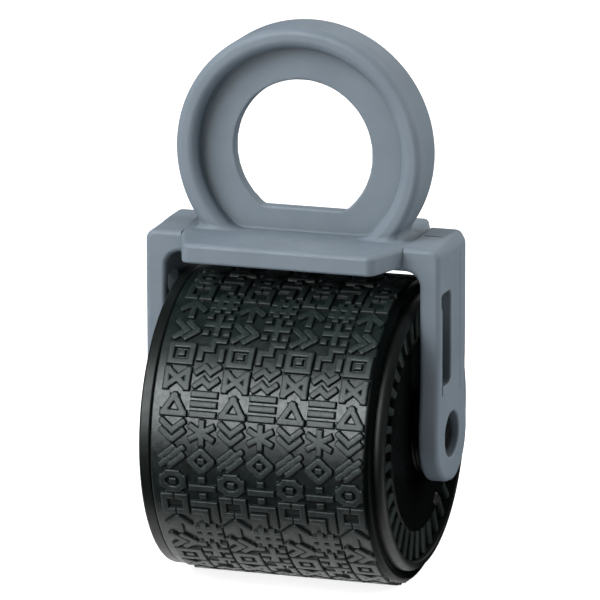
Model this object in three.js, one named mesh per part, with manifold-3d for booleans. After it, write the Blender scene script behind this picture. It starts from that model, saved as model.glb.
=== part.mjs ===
// Hand-held roller stamp: a moulded yoke with a finger ring on top carries a
// pre-inked rubber roller between its two arms.
// Millimetres. +X runs along the roller axle (left is -X), -Y is the front, +Z is up.
// The origin is the middle of the object at the roller's lowest line.

import * as THREE from 'three';
import { mergeVertices } from 'three/addons/utils/BufferGeometryUtils.js';
import Module from 'manifold-3d';

// ---------- shared dimensions ----------
const STAMP_R = 24.0;            // over the raised faces of the stamp sleeve
const AXIS_Z = STAMP_R;          // height of the roller axis
const FIT_GAP = 0.1;             // radial clearance around axle, stakes and plug
const OVERCUT = 1;               // how far cutting solids run past a surface
const SIDES = [-1, 1];           // left, right

// ---------- roller dimensions ----------
const SLEEVE_X = [-17.15, 18.0]; // ends of the sleeve, the left one next to the flange
const SLEEVE_R_IN = 21.7;
const SLEEVE_EDGE_R = 0.7;       // rounding of the outer edges
const EDGE_MID_INSET = 0.29;     // inset of a rounding's middle point, as a share of its radius

const DRUM_R_OUT = 21.6;
const DRUM_R_IN = 20.1;
const DRUM_HALF_X = 19.6;        // the tube stands proud of the rubber at both ends
const DRUM_CHAMFER = 0.3;
const FLANGE_X = [-19.1, -17.25]; // stop for the sleeve, at the left end of the tube
const FLANGE_R = 23.45;
const FLANGE_CHAMFERS = [0.4, 0.2]; // left edge, right edge
const FEED_SLOTS = 10;           // ink feed slots around the drum, in each row
const FEED_ROW_X = 6.4;          // middle of each row, left and right
const FEED_SLOT_LENGTH = 9;
const FEED_SLOT_WIDTH = 2.4;
const FEED_CUT_R = [18, 24];     // radial reach of the slot cutters

const CAP_R = 20.0;              // end cap, a press fit in the drum tube
const CAP_INNER_X = 13.9;        // inner face
const CAP_RECESS_X = 17.6;       // floor of the recess in the inner face
const CAP_RECESS_R = 11.2;
const CAP_FLOOR_X = 16.4;        // floor of the ribbed channel
const CAP_DISC_X = 19.1;         // face of the middle disc
const CAP_DISC_R = 15.5;
const CAP_HUB_X = 20.2;          // hub face, next to the arm
const CAP_HUB_R = 6.2;
const CAP_HUB_TAPER = 0.2;
const RIB_COUNT = 36;
const RIB_X = 18.9;              // crest of the ribs
const RIB_WIDTH = 0.75;
const RIB_SINK_X = 0.3;          // overlap with the channel floor
const RIB_SINK_R = 0.2;          // overlap with the middle disc
const RIB_INSET_R = 0.1;         // set back from the cap's rim

const SEAL_X = 15.1;
const SEAL_R = 19.45;            // centre circle of the seal ring
const SEAL_WIRE_R = 0.6;
const SEAL_GROOVE_HALF_X = 0.8;
const SEAL_GROOVE_R = 18.7;

const SPOOL_R_OUT = 12.9;        // tube the felt is wound on
const SPOOL_R_IN = 11.4;
const FELT_R_OUT = 19.9;
const FELT_R_IN = 13.1;
const FELT_HALF_X = 13.6;

const AXLE_R = 4.0;
const JOURNAL_R = 3.2;
const JOURNAL_END_X = 23.3;
// domed journal end: [distance in from the tip, radius]
const JOURNAL_DOME = [[0, 0], [0.1, 1.2], [0.4, 2.3], [0.9, JOURNAL_R]];

const PLUG_R = 1.1;
const PLUG_AT_R = 14.2;          // refill plug: distance from the roller axis
const PLUG_ANGLE = -62;          // degrees, from +Y towards +Z
const PLUG_INSET_X = 0.3;        // its inner end, from the cap's inner face
// domed plug head: [height above the cap's disc, radius]
const PLUG_HEAD = [[0.05, PLUG_R], [0.25, PLUG_R - 0.3], [0.32, 0]];

// ---------- yoke dimensions ----------
const ARM_X_OUT = 23.8;
const ARM_X_IN = 20.5;
const ARM_HALF_Y = 6.6;
const BOSS_R = 7.4;              // boss around the journal bore
const BORE_R = 3.6;
const SWELL_HEIGHT = 11;         // above the axis, where the arm starts to swell
const SWELL_STEPS = 6;
const TOP_Z = 54.5;              // top of the shoulders and of the saddle plate
const BRIDGE_Z = 51.4;           // underside of the bridge
const YOKE_CORNER_R = 1.5;
const YOKE_FILLET_R = 2.2;
const STRAP_Z = 52.95;           // top of the bridge under the saddle plate
const SEAT_HALF_X = 17.95;       // half length of the seat for the saddle plate
const ARM_SLOT_Y = [-5.2, -0.9]; // through slot in each arm
const ARM_SLOT_Z = [32.9, 47.6];
const ARM_SLOT_CORNER_R = 1.2;
const GROOVE_Y = 4.0;            // fine groove down the outside of each arm
const GROOVE_HALF_Y = 0.25;
const GROOVE_DEPTH = 0.2;
const GROOVE_Z = [AXIS_Z + 6, TOP_Z - 2.4];
const YOKE_BLANK_HALF_X = 25;    // blanks and cutters, clear of the yoke all round
const YOKE_BLANK_HALF_Y = 9;
const YOKE_CUT_HALF_X = 26;

// ---------- ring handle dimensions ----------
const SADDLE_HALF_X = 17.9;      // saddle plate, at the arms
const SADDLE_END_X = 15.25;      // and at its front and rear faces
const SADDLE_HALF_Y = 13.8;
const CHANNEL_Z = 53.0;          // ceiling of the channel that straddles the bridge
const CHANNEL_HALF_Y = 6.65;
const CHANNEL_CUT_HALF_X = 20;
const STAKE_X = 9.0;             // two stakes through the bridge
const STAKE_R = 1.5;
const STAKE_SINK = 0.4;          // overlap with the plate
const FOOT_Z = BRIDGE_Z + 0.1;   // lower end of the rim's feet and of the stakes
const RING_Z = 67.2;             // centre of the finger ring
const RING_R = 19.8;
const RING_R_IN = 16.85;         // inside of the rim
const RING_HALF_Y = 3.9;
const RIM_ROUND = 0.9;
const RIM_SINK = 0.2;            // the rim's opening ends this far below the plate's top
const FOOT_FILLET_R = 1.2;
const WEB_HALF_Y = 1.0;
const WEB_ROUND = 0.3;
const WEB_LOW_Z = FOOT_Z + 0.3;
const HOLE_R = 11.2;             // finger hole
const HOLE_FLAT_Z = 58.05;       // its flat lower edge

const { degToRad, radToDeg, smoothstep } = THREE.MathUtils;

// ---------- solids and meshes ----------
const wasm = await Module();
wasm.setup();

function signedVolume(position, triangles) {
  const [a, b, c] = [new THREE.Vector3(), new THREE.Vector3(), new THREE.Vector3()];
  let volume = 0;
  for (let i = 0; i < triangles.length; i += 3) {
    a.fromBufferAttribute(position, triangles[i]);
    b.fromBufferAttribute(position, triangles[i + 1]);
    c.fromBufferAttribute(position, triangles[i + 2]);
    volume += a.dot(b.cross(c)) / 6;
  }
  return volume;
}

// Welds a closed geometry, drops collapsed triangles and makes the faces point out.
function toSolid(geometry) {
  geometry.deleteAttribute('normal');
  geometry.deleteAttribute('uv');
  const welded = mergeVertices(geometry, 1e-4);
  const position = welded.getAttribute('position');
  const index = welded.index.array;
  const triangles = [];
  for (let i = 0; i < index.length; i += 3) {
    const [a, b, c] = index.slice(i, i + 3);
    if (a !== b && b !== c && a !== c) triangles.push(a, b, c);
  }
  if (signedVolume(position, triangles) < 0) {
    for (let i = 0; i < triangles.length; i += 3) {
      [triangles[i + 1], triangles[i + 2]] = [triangles[i + 2], triangles[i + 1]];
    }
  }
  return new wasm.Manifold(new wasm.Mesh({
    numProp: 3,
    vertProperties: new Float32Array(position.array),
    triVerts: new Uint32Array(triangles),
  }));
}

function toMesh(name, solid, material) {
  const { vertProperties, triVerts } = solid.getMesh();
  const geometry = new THREE.BufferGeometry();
  const position = new Float32Array(vertProperties);
  geometry.setAttribute('position', new THREE.BufferAttribute(position, 3));
  geometry.setIndex(Array.from(triVerts));
  geometry.computeVertexNormals();
  const mesh = new THREE.Mesh(geometry, material);
  mesh.name = name;
  return mesh;
}

// profile of [x, r] points turned about an axis along X, by default the roller's
function turned(profile, segments, y = 0, z = AXIS_Z) {
  const points = profile.map(([x, r]) => new THREE.Vector2(r, x));
  const geometry = new THREE.LatheGeometry(points, segments);
  geometry.rotateZ(-Math.PI / 2);
  geometry.translate(0, y, z);
  return toSolid(geometry);
}

function tube(halfX, rIn, rOut, segments) {
  return turned([
    [-halfX, rIn], [halfX, rIn], [halfX, rOut], [-halfX, rOut], [-halfX, rIn],
  ], segments);
}

// x0 and x1 may come in either order
function boxGeometry(x0, x1, y0, y1, z0, z1) {
  const geometry = new THREE.BoxGeometry(Math.abs(x1 - x0), y1 - y0, z1 - z0);
  return geometry.translate((x0 + x1) / 2, (y0 + y1) / 2, (z0 + z1) / 2);
}

const box = (...limits) => toSolid(boxGeometry(...limits));

// box standing out from the roller axis between radii r0 and r1
function radialBox(x0, x1, width, r0, r1, angle) {
  const geometry = boxGeometry(x0, x1, -width / 2, width / 2, r0, r1);
  geometry.rotateX(angle);
  geometry.translate(0, 0, AXIS_Z);
  return toSolid(geometry);
}

function rodX(radius, x0, x1, y, z, segments) {
  const geometry = new THREE.CylinderGeometry(radius, radius, x1 - x0, segments);
  geometry.rotateZ(Math.PI / 2);
  geometry.translate((x0 + x1) / 2, y, z);
  return toSolid(geometry);
}

function rodZ(radius, z0, z1, x) {
  const geometry = new THREE.CylinderGeometry(radius, radius, z1 - z0, 24);
  geometry.rotateX(Math.PI / 2);
  geometry.translate(x, 0, (z0 + z1) / 2);
  return toSolid(geometry);
}

// ---------- outlines and slabs ----------
function arc(centreX, centreY, radius, fromDeg, toDeg, steps) {
  const points = [];
  for (let i = 0; i <= steps; i++) {
    const angle = degToRad(fromDeg + ((toDeg - fromDeg) * i) / steps);
    points.push([centreX + radius * Math.cos(angle), centreY + radius * Math.sin(angle)]);
  }
  return points;
}

function roundedRect([x0, x1], [y0, y1], radius, steps) {
  return [
    ...arc(x1 - radius, y1 - radius, radius, 0, 90, steps),
    ...arc(x0 + radius, y1 - radius, radius, 90, 180, steps),
    ...arc(x0 + radius, y0 + radius, radius, 180, 270, steps),
    ...arc(x1 - radius, y0 + radius, radius, 270, 360, steps),
  ];
}

const vectors = (points) => points.map(([x, y]) => new THREE.Vector2(x, y));

function extruded(outline, depth, options = { bevelEnabled: false }, hole = null) {
  const shape = new THREE.Shape(vectors(outline));
  if (hole) shape.holes.push(new THREE.Path(vectors(hole)));
  return new THREE.ExtrudeGeometry(shape, { depth, ...options });
}

// outline in Y and Z, extruded over x0..x1
function slabX(outline, x0, x1) {
  const geometry = extruded(outline, x1 - x0);
  // local x, y, z become Y, Z, X
  geometry.applyMatrix4(new THREE.Matrix4().set(
    0, 0, 1, x0,
    1, 0, 0, 0,
    0, 1, 0, 0,
    0, 0, 0, 1,
  ));
  return toSolid(geometry);
}

// outline in X and Z, centred on y = 0, with optional rounded front and rear edges
function slabY(outline, halfY, { round = 0, steps = 3, hole = null } = {}) {
  const geometry = extruded(outline, 2 * (halfY - round), {
    bevelEnabled: round > 0,
    bevelThickness: round,
    bevelSize: round,
    bevelOffset: -round,
    bevelSegments: steps,
  }, hole);
  geometry.rotateX(Math.PI / 2);   // depth now runs towards -Y
  geometry.translate(0, halfY - round, 0);
  return toSolid(geometry);
}

// outline in X and Y, extruded over z0..z1
function slabZ(outline, z0, z1) {
  return toSolid(extruded(outline, z1 - z0).translate(0, 0, z0));
}

// ---------- materials ----------
const material = (settings) => new THREE.MeshStandardMaterial({ metalness: 0, ...settings });
const greyPlastic = () => material({ color: 0x6f7c8a, roughness: 0.45 });
const blackPlastic = () => material({ color: 0x16191a, roughness: 0.35 });
const stampRubber = () => material({ color: 0x2b302f, roughness: 0.55 });
const feltMaterial = () => material({ color: 0x1d1e22, roughness: 1.0 });
const sealRubber = () => material({ color: 0x101112, roughness: 0.7 });

// ---------- yoke frame: bridge and two arms ----------
function yokeFrontOutline() {
  const lowZ = AXIS_Z - BOSS_R - 2 * OVERCUT;
  const filletX = ARM_X_IN - YOKE_FILLET_R;
  const filletZ = BRIDGE_Z - YOKE_FILLET_R;
  const cornerX = ARM_X_OUT - YOKE_CORNER_R;
  const cornerZ = TOP_Z - YOKE_CORNER_R;
  return [
    [-ARM_X_OUT, lowZ],
    [-ARM_X_IN, lowZ],
    ...arc(-filletX, filletZ, YOKE_FILLET_R, 180, 90, 6),
    ...arc(filletX, filletZ, YOKE_FILLET_R, 90, 0, 6),
    [ARM_X_IN, lowZ],
    [ARM_X_OUT, lowZ],
    ...arc(cornerX, cornerZ, YOKE_CORNER_R, 0, 90, 5),
    ...arc(-cornerX, cornerZ, YOKE_CORNER_R, 90, 180, 5),
  ];
}

// straight arm that swells into the round boss
function yokeSideOutline() {
  const edge = [[ARM_HALF_Y, TOP_Z + OVERCUT], [ARM_HALF_Y, AXIS_Z + SWELL_HEIGHT]];
  for (let i = 1; i < SWELL_STEPS; i++) {
    const t = i / SWELL_STEPS;
    edge.push([
      ARM_HALF_Y + (BOSS_R - ARM_HALF_Y) * smoothstep(t, 0, 1),
      AXIS_Z + SWELL_HEIGHT * (1 - t),
    ]);
  }
  return [
    ...edge.map(([y, z]) => [-y, z]),
    ...arc(0, AXIS_Z, BOSS_R, 180, 360, 28),
    ...edge.reverse(),
  ];
}

function yokeFrame() {
  const armSlot = roundedRect(ARM_SLOT_Y, ARM_SLOT_Z, ARM_SLOT_CORNER_R, 3);
  let yoke = slabY(yokeFrontOutline(), YOKE_BLANK_HALF_Y)
    .intersect(slabX(yokeSideOutline(), -YOKE_BLANK_HALF_X, YOKE_BLANK_HALF_X))
    .subtract(rodX(BORE_R, -YOKE_CUT_HALF_X, YOKE_CUT_HALF_X, 0, AXIS_Z, 40))
    .subtract(slabX(armSlot, -YOKE_CUT_HALF_X, YOKE_CUT_HALF_X));
  for (const side of SIDES) {
    yoke = yoke.subtract(box(
      side * (ARM_X_OUT - GROOVE_DEPTH), side * (ARM_X_OUT + OVERCUT),
      GROOVE_Y - GROOVE_HALF_Y, GROOVE_Y + GROOVE_HALF_Y,
      ...GROOVE_Z,
    ));
  }
  // seat for the saddle plate, and holes for its stakes
  yoke = yoke.subtract(box(
    -SEAT_HALF_X, SEAT_HALF_X,
    -YOKE_BLANK_HALF_Y, YOKE_BLANK_HALF_Y,
    STRAP_Z, TOP_Z + 2 * OVERCUT,
  ));
  for (const side of SIDES) {
    const [z0, z1] = [BRIDGE_Z - OVERCUT, STRAP_Z + OVERCUT];
    yoke = yoke.subtract(rodZ(STAKE_R + FIT_GAP, z0, z1, side * STAKE_X));
  }
  return yoke;
}

// ---------- ring handle: saddle plate, rim, web with the finger hole ----------
// circle about the ring's centre, cut off flat at height flatZ
function flatBottomCircle(radius, flatZ, steps) {
  const angle = radToDeg(Math.asin((flatZ - RING_Z) / radius));
  return arc(0, RING_Z, radius, angle, 180 - angle, steps);
}

// ring with a small fillet where each foot meets the plate
function rimOutline() {
  const filletZ = TOP_Z + FOOT_FILLET_R;
  const footX = Math.sqrt((RING_R + FOOT_FILLET_R) ** 2 - (RING_Z - filletZ) ** 2);
  const meetDeg = radToDeg(Math.atan2(filletZ - RING_Z, footX)); // negative: below the centre
  return [
    [footX, FOOT_Z],
    [footX, TOP_Z],
    ...arc(footX, filletZ, FOOT_FILLET_R, 270, 180 + meetDeg, 4).slice(1),
    ...arc(0, RING_Z, RING_R, meetDeg, 180 - meetDeg, 52).slice(1, -1),
    ...arc(-footX, filletZ, FOOT_FILLET_R, -meetDeg, -90, 4).slice(0, -1),
    [-footX, TOP_Z],
    [-footX, FOOT_Z],
  ];
}

function ringHandle() {
  const plate = slabZ([
    [SADDLE_HALF_X, -ARM_HALF_Y], [SADDLE_HALF_X, ARM_HALF_Y],
    [SADDLE_END_X, SADDLE_HALF_Y], [-SADDLE_END_X, SADDLE_HALF_Y],
    [-SADDLE_HALF_X, ARM_HALF_Y], [-SADDLE_HALF_X, -ARM_HALF_Y],
    [-SADDLE_END_X, -SADDLE_HALF_Y], [SADDLE_END_X, -SADDLE_HALF_Y],
  ], BRIDGE_Z, TOP_Z);
  const rim = slabY(rimOutline(), RING_HALF_Y, {
    round: RIM_ROUND,
    hole: flatBottomCircle(RING_R_IN, TOP_Z - RIM_SINK, 46),
  });
  // the web's edge lies in the middle of the rim
  const webOutline = flatBottomCircle((RING_R + RING_R_IN) / 2, WEB_LOW_Z, 40);
  const web = slabY(webOutline, WEB_HALF_Y, {
    round: WEB_ROUND,
    steps: 1,
    hole: flatBottomCircle(HOLE_R, HOLE_FLAT_Z, 40),
  });
  const channel = box(
    -CHANNEL_CUT_HALF_X, CHANNEL_CUT_HALF_X,
    -CHANNEL_HALF_Y, CHANNEL_HALF_Y,
    BRIDGE_Z - OVERCUT, CHANNEL_Z,
  );
  let handle = plate.add(rim).add(web).subtract(channel);
  for (const side of SIDES) {
    handle = handle.add(rodZ(STAKE_R, FOOT_Z, CHANNEL_Z + STAKE_SINK, side * STAKE_X));
  }
  return handle;
}

// ---------- roller ----------
// stepped axle with domed journals
function axle() {
  const rightHalf = [
    [CAP_HUB_X, AXLE_R], [CAP_HUB_X, JOURNAL_R],
    ...JOURNAL_DOME.map(([inset, r]) => [JOURNAL_END_X - inset, r]).reverse(),
  ];
  const leftHalf = rightHalf.map(([x, r]) => [-x, r]).reverse();
  return turned([...leftHalf, ...rightHalf], 40);
}

// tube with a stop flange and two rows of ink feed slots
function drumTube() {
  const [flangeLeft, flangeRight] = FLANGE_X;
  const [chamferLeft, chamferRight] = FLANGE_CHAMFERS;
  let drum = turned([
    [-DRUM_HALF_X, DRUM_R_IN], [DRUM_HALF_X, DRUM_R_IN],
    [DRUM_HALF_X, DRUM_R_OUT - DRUM_CHAMFER], [DRUM_HALF_X - DRUM_CHAMFER, DRUM_R_OUT],
    [flangeRight, DRUM_R_OUT],
    [flangeRight, FLANGE_R - chamferRight], [flangeRight - chamferRight, FLANGE_R],
    [flangeLeft + chamferLeft, FLANGE_R], [flangeLeft, FLANGE_R - chamferLeft],
    [flangeLeft, DRUM_R_OUT],
    [-DRUM_HALF_X + DRUM_CHAMFER, DRUM_R_OUT], [-DRUM_HALF_X, DRUM_R_OUT - DRUM_CHAMFER],
    [-DRUM_HALF_X, DRUM_R_IN],
  ], 72);
  for (let i = 0; i < FEED_SLOTS; i++) {
    const angle = (2 * Math.PI * i) / FEED_SLOTS;
    for (const side of SIDES) {
      const x0 = side * FEED_ROW_X - FEED_SLOT_LENGTH / 2;
      const x1 = x0 + FEED_SLOT_LENGTH;
      drum = drum.subtract(radialBox(x0, x1, FEED_SLOT_WIDTH, ...FEED_CUT_R, angle));
    }
  }
  return drum;
}

// rubber sleeve with rounded outer edges
function stampSleeve() {
  const [left, right] = SLEEVE_X;
  const edge = SLEEVE_EDGE_R;
  const mid = EDGE_MID_INSET * edge;
  return turned([
    [left, SLEEVE_R_IN], [right, SLEEVE_R_IN],
    [right, STAMP_R - edge], [right - mid, STAMP_R - mid], [right - edge, STAMP_R],
    [left + edge, STAMP_R], [left + mid, STAMP_R - mid], [left, STAMP_R - edge],
    [left, SLEEVE_R_IN],
  ], 80);
}

const plugY = PLUG_AT_R * Math.cos(degToRad(PLUG_ANGLE));
const plugZ = AXIS_Z + PLUG_AT_R * Math.sin(degToRad(PLUG_ANGLE));

// cap with a seal groove and a ribbed channel; the right one has the plug hole
function endCap(side) {
  const boreR = AXLE_R + FIT_GAP;
  const grooveInX = SEAL_X - SEAL_GROOVE_HALF_X;
  const grooveOutX = SEAL_X + SEAL_GROOVE_HALF_X;
  const profile = [
    [CAP_INNER_X, boreR], [CAP_INNER_X, CAP_HUB_R],
    [CAP_RECESS_X, CAP_HUB_R], [CAP_RECESS_X, CAP_RECESS_R],
    [CAP_INNER_X, CAP_RECESS_R], [CAP_INNER_X, CAP_R],
    [grooveInX, CAP_R], [grooveInX, SEAL_GROOVE_R],
    [grooveOutX, SEAL_GROOVE_R], [grooveOutX, CAP_R],
    [CAP_FLOOR_X, CAP_R], [CAP_FLOOR_X, CAP_DISC_R],
    [CAP_DISC_X, CAP_DISC_R], [CAP_DISC_X, CAP_HUB_R],
    [CAP_HUB_X, CAP_HUB_R - CAP_HUB_TAPER], [CAP_HUB_X, boreR],
    [CAP_INNER_X, boreR],
  ];
  let cap = turned(profile.map(([x, r]) => [side * x, r]), 60);
  for (let i = 0; i < RIB_COUNT; i++) {
    cap = cap.add(radialBox(
      side * (CAP_FLOOR_X - RIB_SINK_X), side * RIB_X,
      RIB_WIDTH,
      CAP_DISC_R - RIB_SINK_R, CAP_R - RIB_INSET_R,
      (2 * Math.PI * (i + 0.5)) / RIB_COUNT,
    ));
  }
  if (side < 0) return cap;
  const [x0, x1] = [CAP_INNER_X - OVERCUT, CAP_DISC_X + OVERCUT];
  return cap.subtract(rodX(PLUG_R + FIT_GAP, x0, x1, plugY, plugZ, 20));
}

function sealRing(side) {
  const geometry = new THREE.TorusGeometry(SEAL_R, SEAL_WIRE_R, 6, 48);
  geometry.rotateY(Math.PI / 2);
  geometry.translate(side * SEAL_X, 0, AXIS_Z);
  return toSolid(geometry);
}

// plug in the right end cap, its domed head just proud of the disc
function refillPlug() {
  const innerX = CAP_INNER_X + PLUG_INSET_X;
  const head = PLUG_HEAD.map(([height, r]) => [CAP_DISC_X + height, r]);
  return turned([[innerX, 0], [innerX, PLUG_R], ...head], 20, plugY, plugZ);
}

// ---------- assembly ----------
const object = new THREE.Group();
object.name = 'roller_stamp';
object.add(
  toMesh('yoke_frame', yokeFrame(), greyPlastic()),
  toMesh('ring_handle', ringHandle(), greyPlastic()),
  toMesh('axle', axle(), blackPlastic()),
  toMesh('drum_tube', drumTube(), blackPlastic()),
  toMesh('felt_spool', tube(FELT_HALF_X, SPOOL_R_IN, SPOOL_R_OUT, 40), blackPlastic()),
  toMesh('ink_felt', tube(FELT_HALF_X, FELT_R_IN, FELT_R_OUT, 56), feltMaterial()),
  toMesh('stamp_sleeve', stampSleeve(), stampRubber()),
);
for (const side of SIDES) {
  const word = side < 0 ? 'left' : 'right';
  object.add(
    toMesh(`end_cap_${word}`, endCap(side), blackPlastic()),
    toMesh(`seal_ring_${word}`, sealRing(side), sealRubber()),
  );
}
object.add(toMesh('refill_plug', refillPlug(), blackPlastic()));

export default object;
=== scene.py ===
"""Hand-held roller stamp: a ring handle on a yoke that carries a roller with a raised sleeve.

The roller axis lies along X, 24 mm above the floor; the yoke and the finger ring stand up
along +Z. The front is -Y and the right-hand side is +X. Shapes are written in millimetres;
materials, lights and camera are in metres.
"""

import math
import random

import bmesh
import bpy
import numpy as np
from mathutils import Matrix, Vector


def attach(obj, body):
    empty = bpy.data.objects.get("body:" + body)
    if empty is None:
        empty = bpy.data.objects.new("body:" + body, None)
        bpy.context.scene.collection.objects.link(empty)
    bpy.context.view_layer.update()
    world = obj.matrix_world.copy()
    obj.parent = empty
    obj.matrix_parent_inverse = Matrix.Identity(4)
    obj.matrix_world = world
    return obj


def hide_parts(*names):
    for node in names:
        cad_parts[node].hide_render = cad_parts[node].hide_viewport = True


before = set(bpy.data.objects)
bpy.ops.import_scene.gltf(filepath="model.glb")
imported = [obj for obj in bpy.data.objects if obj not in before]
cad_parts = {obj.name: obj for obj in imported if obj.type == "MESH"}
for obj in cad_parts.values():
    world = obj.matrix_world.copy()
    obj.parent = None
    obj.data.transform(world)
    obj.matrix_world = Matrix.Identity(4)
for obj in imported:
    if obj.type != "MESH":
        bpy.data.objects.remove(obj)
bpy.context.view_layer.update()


scene = bpy.context.scene

MM = 0.001
AXIS_Z = 24.0          # roller axis above the floor
TOP_Z = 54.5           # top of the yoke shoulders and of the saddle plate
STAKE_X = 9.0          # the two stakes of the ring handle and their holes in the yoke
PLUG_R = 14.2          # refill plug: distance from the roller axis, and its angle
PLUG_ANGLE = math.radians(-62)
PLUG_Y, PLUG_Z = PLUG_R * math.cos(PLUG_ANGLE), PLUG_R * math.sin(PLUG_ANGLE)

# --------------------------------------------------------------------------
# distance functions: millimetres, negative inside
# --------------------------------------------------------------------------


def distance(a, b):
    return np.sqrt(a * a + b * b)


def cut_round(a, b, radius):
    """Intersection of two solids with a rounded edge."""
    outside = distance(np.maximum(a + radius, 0.0), np.maximum(b + radius, 0.0))
    return np.minimum(np.maximum(a, b), -radius) + outside


def join_round(a, b, radius):
    """Union of two solids with a fillet."""
    inside = distance(np.maximum(radius - a, 0.0), np.maximum(radius - b, 0.0))
    return np.maximum(np.minimum(a, b), radius) - inside


def carve(body, tool, radius=None):
    """Takes the tool out of the body, with a sharp or a rounded edge."""
    return np.maximum(body, -tool) if radius is None else cut_round(body, -tool, radius)


def smooth(t):
    t = np.clip(t, 0.0, 1.0)
    return t * t * (3 - 2 * t)


def rise(value, start, width):
    """0 up to start, then smoothly to 1 over the width."""
    return smooth((value - start) / width)


def fall(value, end, width):
    """0 from end on, and smoothly to 1 over the width before it."""
    return smooth((end - value) / width)


def box(a, b):
    """Distance to a rectangle from the distances to its two pairs of sides."""
    return np.minimum(np.maximum(a, b), 0) + distance(np.maximum(a, 0), np.maximum(b, 0))


def round_rect(p, q, p_span, q_span, radius):
    a, b = (np.abs(value - (low + high) / 2) - (high - low) / 2 + radius
            for value, (low, high) in ((p, p_span), (q, q_span)))
    return box(a, b) - radius


def fold(angle, count):
    """Angle from the middle of the nearest of count equal sectors."""
    pitch = 2 * math.pi / count
    return np.mod(angle, pitch) - pitch / 2


# ---- yoke ----

ARM_OUTER_X, ARM_INNER_X = 23.8, 20.5
BRIDGE_UNDER_RIGHT, BRIDGE_UNDER_LEFT = 50.75, 51.15
SHOULDER_X, SEAT_Z = 17.95, 52.95        # the seat for the saddle lies between the shoulders
ARM_HALF_Y, ARM_END_R = 6.6, 7.4
FLARE_Z = 11.0                           # the arms widen over this height above the axis
GROOVE_Y, GROOVE_DEPTH, GROOVE_HALF = 4.0, 0.2, 0.2
CROWN, REAR_SWELL = 0.3, 0.4
SLOT_REAR, SLOT_FOOT, SLOT_HEAD = -0.65, 32.5, 47.2
STAKE_HOLE_R, AXLE_BORE_R = 1.6, 3.6
CUT_FROM_X = 5                           # side cuts reach inwards as far as this


def yoke(x, y, z):
    across, rear, up = np.abs(x), y > 0, z - AXIS_Z
    # thin upright groove on the outer face of each arm
    groove = (GROOVE_DEPTH * np.exp(-(((y - GROOVE_Y) / GROOVE_HALF) ** 2))
              * rise(z, start=29.6, width=0.9) * fall(z, end=52.4, width=0.9))
    # the top of each shoulder crowns a little towards the rear
    crown = (CROWN * rise(y, start=-5.0, width=9.0)
             * rise(across, start=SHOULDER_X, width=0.5) * fall(across, end=23.6, width=0.8))
    outer = cut_round(across - ARM_OUTER_X + groove, z - TOP_Z - crown, radius=1.7)
    under = np.where(x > 0, BRIDGE_UNDER_RIGHT, BRIDGE_UNDER_LEFT)
    opening = cut_round(across - ARM_INNER_X, z - under, radius=2.4)
    body = carve(outer, opening, radius=0.35)
    # front and rear faces, closing in a half round below the axis
    half_y = ARM_HALF_Y + (ARM_END_R - ARM_HALF_Y) * fall(up, end=FLARE_Z, width=FLARE_Z)
    side = np.where(up > 0, np.abs(y) - half_y, distance(y, up) - ARM_END_R)
    swell = (REAR_SWELL * rise(z, start=30.0, width=10.0)
             * rise(across, start=SHOULDER_X, width=0.4))
    side = np.where(rear & (up > 0), side - swell, side)
    body = cut_round(body, side, radius=np.where(rear, 0.45, 0.8))
    body = carve(body, np.maximum(across - SHOULDER_X, SEAT_Z - z))
    body = carve(body, np.maximum(distance(across - STAKE_X, y) - STAKE_HOLE_R, 45 - z))
    # through slot in each arm: rear lower corner cut slanting, head set further forward
    slot = round_rect(y, z, (-4.95, SLOT_REAR), (SLOT_FOOT, SLOT_HEAD), radius=1.1)
    slant = (y - SLOT_REAR) * 0.75 - (z - SLOT_FOOT) * 0.66 - 0.25
    head = round_rect(y, z, (-5.5, -1.35), (44.9, SLOT_HEAD), radius=0.6)
    slot = np.minimum(np.maximum(slot, slant), head)
    body = carve(body, np.maximum(slot, CUT_FROM_X - across), radius=0.22)
    # short nick in the outer face at the foot of the slot
    nick = round_rect(y, z, (-5.1, -4.75), (31.2, 33.2), radius=0.16)
    body = carve(body, np.maximum(nick, 23.45 - across))
    bore = np.maximum(distance(y, up) - AXLE_BORE_R, CUT_FROM_X - across)
    body = carve(body, bore, radius=0.3)
    # narrow recess in the top of the right shoulder
    recess = round_rect(x, y, (18.8, 21.9), (1.1, 1.5), radius=0.17)
    return carve(body, np.maximum(recess, 54.4 - z))


# ---- ring handle ----

RING_Z, RIM_R, RIM_HALF = 67.2, 18.15, 1.65      # rim: middle radius and half its width
RIM_REAR, RIM_FRONT = 4.2, 3.9
PLATE_X, PLATE_Y, PLATE_UNDER = 17.96, 13.8, 51.4
TAPER_X, TAPER_Y, TAPER_NORMAL = 17.9, 6.6, (0.93847, 0.34538)   # slanting plate corners
RING_FOOT = 53.2                                 # rim and web end here
WEB_R, WEB_HALF_Y = 18.3, 1.0
FINGER_R, FINGER_FLAT_Z = 11.2, 58.2             # finger hole with a flat lower edge
CHANNEL_Y, CHANNEL_Z = 6.65, 53.0                # channel that straddles the yoke bridge
STAKE_R, STAKE_Z = 1.5, (51.5, 53.5)


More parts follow.
